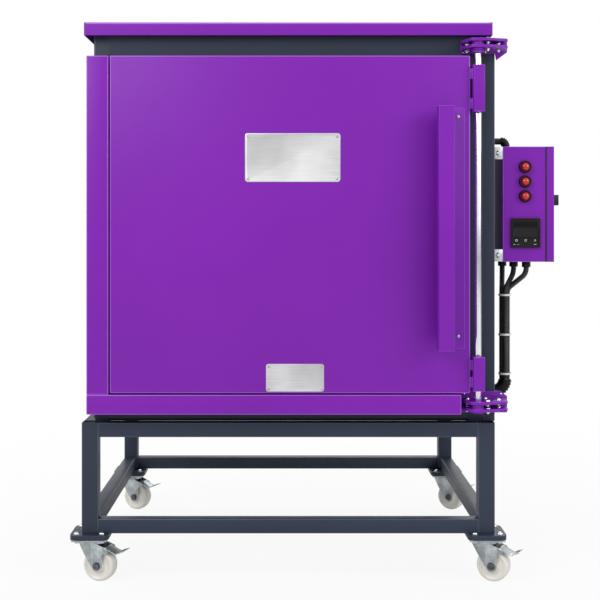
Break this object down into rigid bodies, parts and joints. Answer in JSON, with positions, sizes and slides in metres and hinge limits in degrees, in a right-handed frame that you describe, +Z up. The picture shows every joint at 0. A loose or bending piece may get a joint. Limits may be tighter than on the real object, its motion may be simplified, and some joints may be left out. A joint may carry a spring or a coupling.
{
  "type": "ceramic kiln",
  "caption": "Front-loading electric ceramic kiln with a side-hung door, a wheeled tube stand, a side control box and a brick-lined chamber.",
  "frame": {"origin": "on the floor under the middle of the kiln's bounding box", "axes": "+Z up, +X to the right seen from the front, +Y to the rear"},
  "size_m": [1.1952, 0.983, 1.393],
  "materials": {
    "anthracite_paint": "satin powder coat",
    "purple_paint": "satin powder coat",
    "zinc_plated_steel": "zinc plated",
    "white_nylon": "satin",
    "firebrick": "matt porous",
    "insulating_board": "matt fibrous",
    "kiln_shelf": "matt",
    "element_wire": "oxidised",
    "rope_gasket": "woven",
    "chromed_rod": "polished",
    "black_plastic": "satin",
    "red_lens": "clear red",
    "grey_plastic": "satin",
    "key_plastic": "satin",
    "braided_conduit": "braided",
    "white_tie": "satin"
  },
  "bodies": {
    "kiln": {"stand_corner_posts": "anthracite_paint", "stand_top_rails": "anthracite_paint", "stand_bottom_rails": "anthracite_paint", "caster_mounting_plates": "anthracite_paint", "caster_top_plates": "zinc_plated_steel", "caster_plate_bolts": "zinc_plated_steel", "body_frame": "anthracite_paint", "front_frame": "anthracite_paint", "hinge_column": "anthracite_paint", "side_panels": "anthracite_paint", "rear_panel": "anthracite_paint", "floor_pan": "anthracite_paint", "top_cover": "purple_paint", "lining_walls": "firebrick", "lining_roof": "firebrick", "lining_floor": "firebrick", "backing_insulation": "insulating_board", "hearth_plate": "kiln_shelf", "heating_elements": "element_wire", "thermocouple": "zinc_plated_steel", "terminal_cover": "anthracite_paint", "latch_side_trim": "purple_paint", "sill_trim": "purple_paint", "upper_hinge_bracket": "purple_paint", "lower_hinge_bracket": "purple_paint", "hinge_bracket_bolts": "zinc_plated_steel", "control_box_body": "purple_paint", "control_box_brackets": "zinc_plated_steel", "control_gear": "grey_plastic", "signal_lamp_bezels": "black_plastic", "signal_lamp_lenses": "red_lens", "temperature_controller": "black_plastic", "control_box_hinges": "zinc_plated_steel", "cable_glands": "black_plastic", "conduits": "braided_conduit", "cable_ties": "white_tie"},
    "door": {"door_shell": "purple_paint", "door_lining": "firebrick", "door_gasket": "rope_gasket", "door_handle": "purple_paint", "hinge_blocks": "purple_paint", "hinge_rod": "chromed_rod"},
    "control_box_door": {"control_box_door": "purple_paint"},
    "control_box_lock": {"control_box_lock": "black_plastic"},
    "vent_plug": {"vent_plug": "firebrick"},
    "controller_key_left": {"controller_key_left": "key_plastic"},
    "controller_key_middle": {"controller_key_middle": "key_plastic"},
    "controller_key_right": {"controller_key_right": "key_plastic"},
    "swivel_fork_front_left": {"caster_fork_front_left": "zinc_plated_steel"},
    "wheel_front_left": {"caster_wheel_front_left": "white_nylon"},
    "pedal_front_left": {"brake_pedal_front_left": "zinc_plated_steel"},
    "swivel_fork_front_right": {"caster_fork_front_right": "zinc_plated_steel"},
    "wheel_front_right": {"caster_wheel_front_right": "white_nylon"},
    "pedal_front_right": {"brake_pedal_front_right": "zinc_plated_steel"},
    "swivel_fork_rear_left": {"caster_fork_rear_left": "zinc_plated_steel"},
    "wheel_rear_left": {"caster_wheel_rear_left": "white_nylon"},
    "pedal_rear_left": {"brake_pedal_rear_left": "zinc_plated_steel"},
    "swivel_fork_rear_right": {"caster_fork_rear_right": "zinc_plated_steel"},
    "wheel_rear_right": {"caster_wheel_rear_right": "white_nylon"},
    "pedal_rear_right": {"brake_pedal_rear_right": "zinc_plated_steel"}
  },
  "joints": [
    {"name": "door_hinge", "type": "hinge", "parent": "kiln", "child": "door", "pos_m": [0.3814, -0.4165, 0.86425], "axis": [0, 0, 1], "range_deg": [0, 135]},
    {"name": "control_box_door_hinge", "type": "hinge", "parent": "kiln", "child": "control_box_door", "pos_m": [0.5654, -0.1195, 0.9175], "axis": [0, 0, 1], "range_deg": [0, 110]},
    {"name": "control_box_lock_turn", "type": "hinge", "parent": "control_box_door", "child": "control_box_lock", "pos_m": [0.5806, -0.3045, 0.928], "axis": [1, 0, 0], "range_deg": [0, 90]},
    {"name": "vent_plug_lift", "type": "slide", "parent": "kiln", "child": "vent_plug", "axis": [0, 0, 1], "range_m": [0, 0.06]},
    {"name": "controller_key_left_press", "type": "slide", "parent": "kiln", "child": "controller_key_left", "axis": [0, 1, 0], "range_m": [0, 0.0008], "stiffness_N_per_m": 300, "springref_m": -0.0005},
    {"name": "controller_key_middle_press", "type": "slide", "parent": "kiln", "child": "controller_key_middle", "axis": [0, 1, 0], "range_m": [0, 0.0008], "stiffness_N_per_m": 300, "springref_m": -0.0005},
    {"name": "controller_key_right_press", "type": "slide", "parent": "kiln", "child": "controller_key_right", "axis": [0, 1, 0], "range_m": [0, 0.0008], "stiffness_N_per_m": 300, "springref_m": -0.0005},
    {"name": "caster_swivel_front_left", "type": "hinge", "parent": "kiln", "child": "swivel_fork_front_left", "pos_m": [-0.5511, -0.3415, 0.0997], "axis": [0, 0, 1], "continuous": true},
    {"name": "wheel_spin_front_left", "type": "hinge", "parent": "swivel_fork_front_left", "child": "wheel_front_left", "pos_m": [-0.52899, -0.34784, 0.04], "axis": [0.2756, 0.9613, 0], "continuous": true},
    {"name": "brake_pedal_front_left", "type": "hinge", "parent": "swivel_fork_front_left", "child": "pedal_front_left", "pos_m": [-0.51073, -0.35308, 0.0815], "axis": [0.2756, 0.9613, 0], "range_deg": [0, 10]},
    {"name": "caster_swivel_front_right", "type": "hinge", "parent": "kiln", "child": "swivel_fork_front_right", "pos_m": [0.4089, -0.3415, 0.0997], "axis": [0, 0, 1], "continuous": true},
    {"name": "wheel_spin_front_right", "type": "hinge", "parent": "swivel_fork_front_right", "child": "wheel_front_right", "pos_m": [0.42974, -0.35122, 0.04], "axis": [0.4226, 0.9063, 0], "continuous": true},
    {"name": "brake_pedal_front_right", "type": "hinge", "parent": "swivel_fork_front_right", "child": "pedal_front_right", "pos_m": [0.44697, -0.35925, 0.0815], "axis": [0.4226, 0.9063, 0], "range_deg": [0, 10]},
    {"name": "caster_swivel_rear_left", "type": "hinge", "parent": "kiln", "child": "swivel_fork_rear_left", "pos_m": [-0.5511, 0.4225, 0.0997], "axis": [0, 0, 1], "continuous": true},
    {"name": "wheel_spin_rear_left", "type": "hinge", "parent": "swivel_fork_rear_left", "child": "wheel_rear_left", "pos_m": [-0.52977, 0.41388, 0.04], "axis": [0.3746, 0.9272, 0], "continuous": true},
    {"name": "brake_pedal_rear_left", "type": "hinge", "parent": "swivel_fork_rear_left", "child": "pedal_rear_left", "pos_m": [-0.51216, 0.40677, 0.0815], "axis": [0.3746, 0.9272, 0], "range_deg": [0, 10]},
    {"name": "caster_swivel_rear_right", "type": "hinge", "parent": "kiln", "child": "swivel_fork_rear_right", "pos_m": [0.4089, 0.4225, 0.0997], "axis": [0, 0, 1], "continuous": true},
    {"name": "wheel_spin_rear_right", "type": "hinge", "parent": "swivel_fork_rear_right", "child": "wheel_rear_right", "pos_m": [0.4284, 0.41031, 0.04], "axis": [0.5299, 0.848, 0], "continuous": true},
    {"name": "brake_pedal_rear_right", "type": "hinge", "parent": "swivel_fork_rear_right", "child": "pedal_rear_right", "pos_m": [0.44452, 0.40024, 0.0815], "axis": [0.5299, 0.848, 0], "range_deg": [0, 10]}
  ]
}
